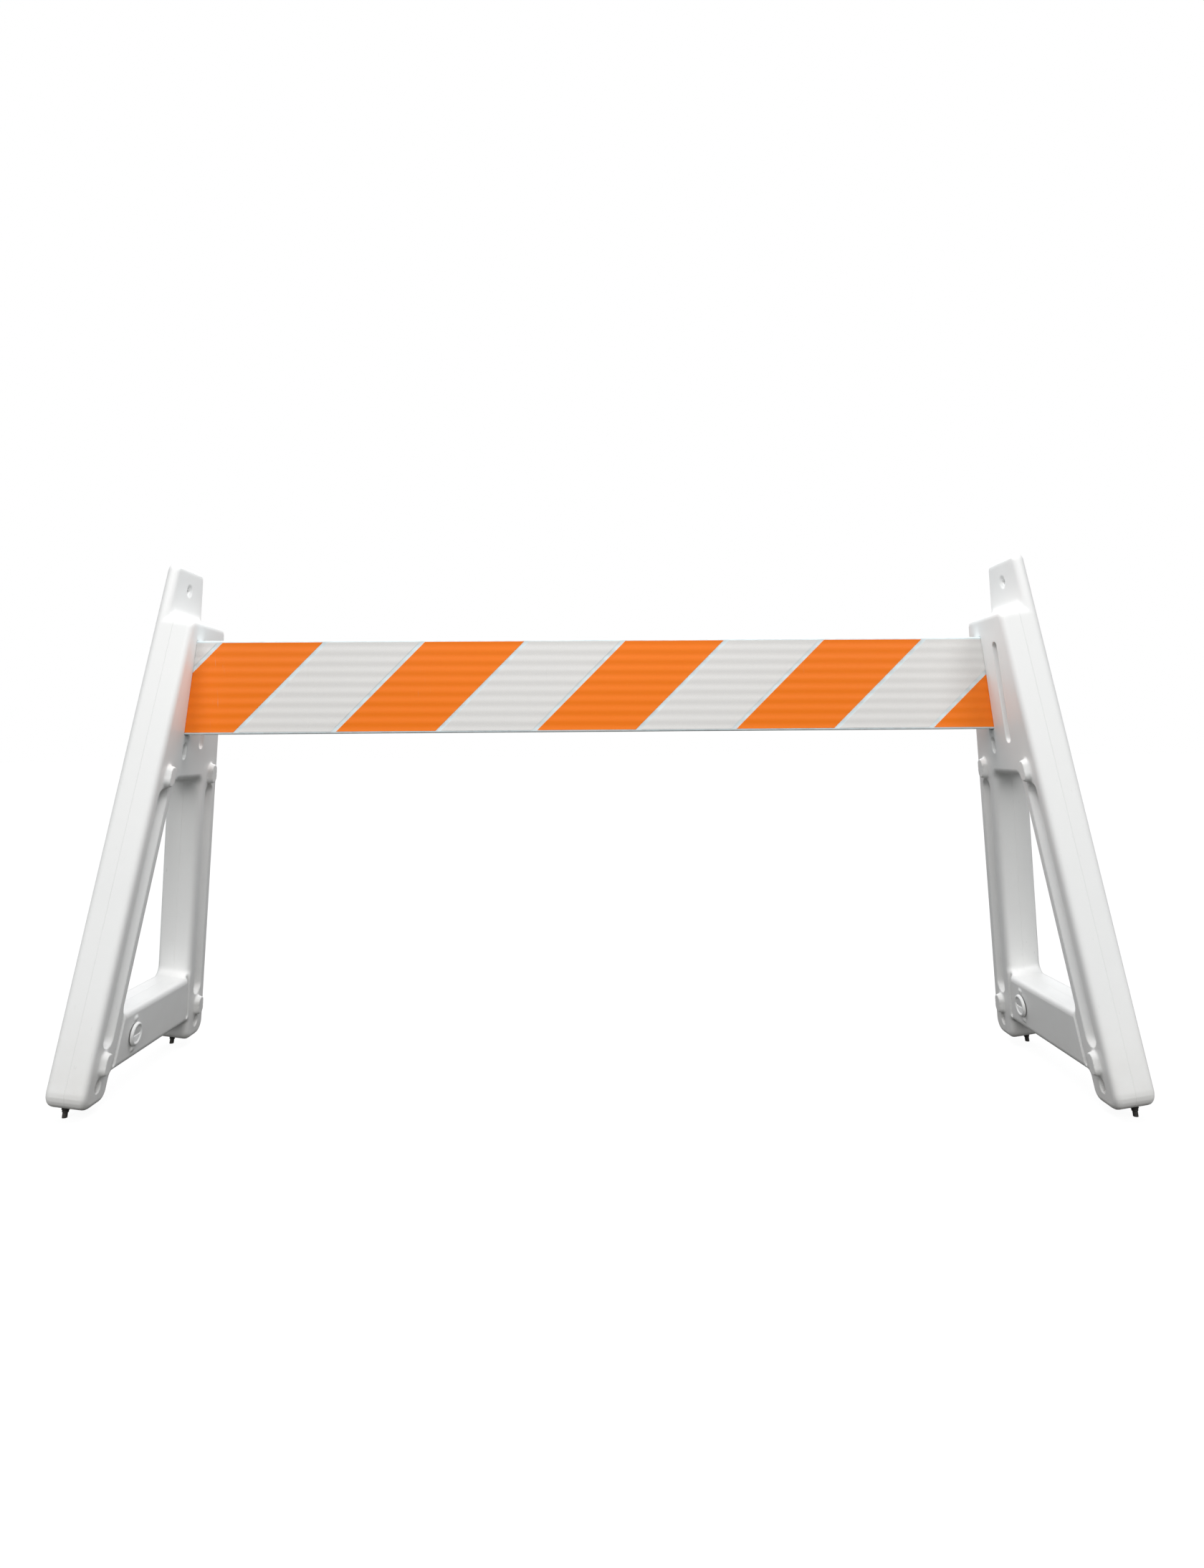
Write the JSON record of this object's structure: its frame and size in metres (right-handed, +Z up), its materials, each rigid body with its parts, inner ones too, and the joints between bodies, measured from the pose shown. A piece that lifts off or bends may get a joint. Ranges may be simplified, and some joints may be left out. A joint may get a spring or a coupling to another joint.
{
  "type": "sawhorse barricade",
  "caption": "Traffic barricade: one striped orange and white rail held between two leaning A-shaped plastic end frames with ballast caps and rubber foot studs.",
  "frame": {"origin": "on the ground, midway between the four feet", "axes": "+X along the rail, -Y the front face, +Z up"},
  "size_m": [2.1398, 0.6898, 1.1281],
  "materials": {
    "frame_plastic": "blow-moulded white polyethylene, satin",
    "cap_plastic": "injection-moulded white polyethylene, satin",
    "seal_rubber": "black rubber ring",
    "stud_rubber": "black moulded rubber",
    "rail_plastic": "extruded white plastic, satin",
    "orange_sheeting": "prismatic retroreflective sheeting, orange",
    "white_sheeting": "prismatic retroreflective sheeting, silver white"
  },
  "bodies": {
    "rail": {"rail_board": "rail_plastic", "front_orange_stripe_1": "orange_sheeting", "front_orange_stripe_2": "orange_sheeting", "front_orange_stripe_3": "orange_sheeting", "front_orange_stripe_4": "orange_sheeting", "front_orange_stripe_5": "orange_sheeting", "front_white_stripe_1": "white_sheeting", "front_white_stripe_2": "white_sheeting", "front_white_stripe_3": "white_sheeting", "front_white_stripe_4": "white_sheeting", "front_white_stripe_5": "white_sheeting", "rear_orange_stripe_1": "orange_sheeting", "rear_orange_stripe_2": "orange_sheeting", "rear_orange_stripe_3": "orange_sheeting", "rear_orange_stripe_4": "orange_sheeting", "rear_orange_stripe_5": "orange_sheeting", "rear_white_stripe_1": "white_sheeting", "rear_white_stripe_2": "white_sheeting", "rear_white_stripe_3": "white_sheeting", "rear_white_stripe_4": "white_sheeting", "rear_white_stripe_5": "white_sheeting"},
    "left_frame": {"left_a_frame": "frame_plastic", "left_front_foot_stud": "stud_rubber", "left_rear_foot_stud": "stud_rubber"},
    "left_seal": {"left_cap_seal": "seal_rubber"},
    "left_cap": {"left_fill_cap": "cap_plastic"},
    "right_frame": {"right_a_frame": "frame_plastic", "right_front_foot_stud": "stud_rubber", "right_rear_foot_stud": "stud_rubber"},
    "right_seal": {"right_cap_seal": "seal_rubber"},
    "right_cap": {"right_fill_cap": "cap_plastic"}
  },
  "joints": [
    {"name": "left_frame_pull", "type": "slide", "parent": "rail", "child": "left_frame", "axis": [-1, 0, 0], "range_m": [0, 0.062]},
    {"name": "left_cap_lift", "type": "slide", "parent": "left_frame", "child": "left_seal", "axis": [0.9898, 0, -0.1426], "range_m": [0, 0.0121]},
    {"name": "left_cap_turn", "type": "hinge", "parent": "left_seal", "child": "left_cap", "pos_m": [-0.97445, -0.065, 0.12434], "axis": [0.9898, 0, -0.1426], "range_deg": [0, 720]},
    {"name": "right_frame_pull", "type": "slide", "parent": "rail", "child": "right_frame", "axis": [1, 0, 0], "range_m": [0, 0.062]},
    {"name": "right_cap_lift", "type": "slide", "parent": "right_frame", "child": "right_seal", "axis": [-0.9898, 0, -0.1426], "range_m": [0, 0.0121]},
    {"name": "right_cap_turn", "type": "hinge", "parent": "right_seal", "child": "right_cap", "pos_m": [0.97445, 0.065, 0.12434], "axis": [-0.9898, 0, -0.1426], "range_deg": [0, 720]}
  ],
  "couplings": [
    {"joint": "left_cap_lift", "follows": "left_cap_turn", "m_per_rad": 0.00095493},
    {"joint": "right_cap_lift", "follows": "right_cap_turn", "m_per_rad": 0.00095493}
  ]
}
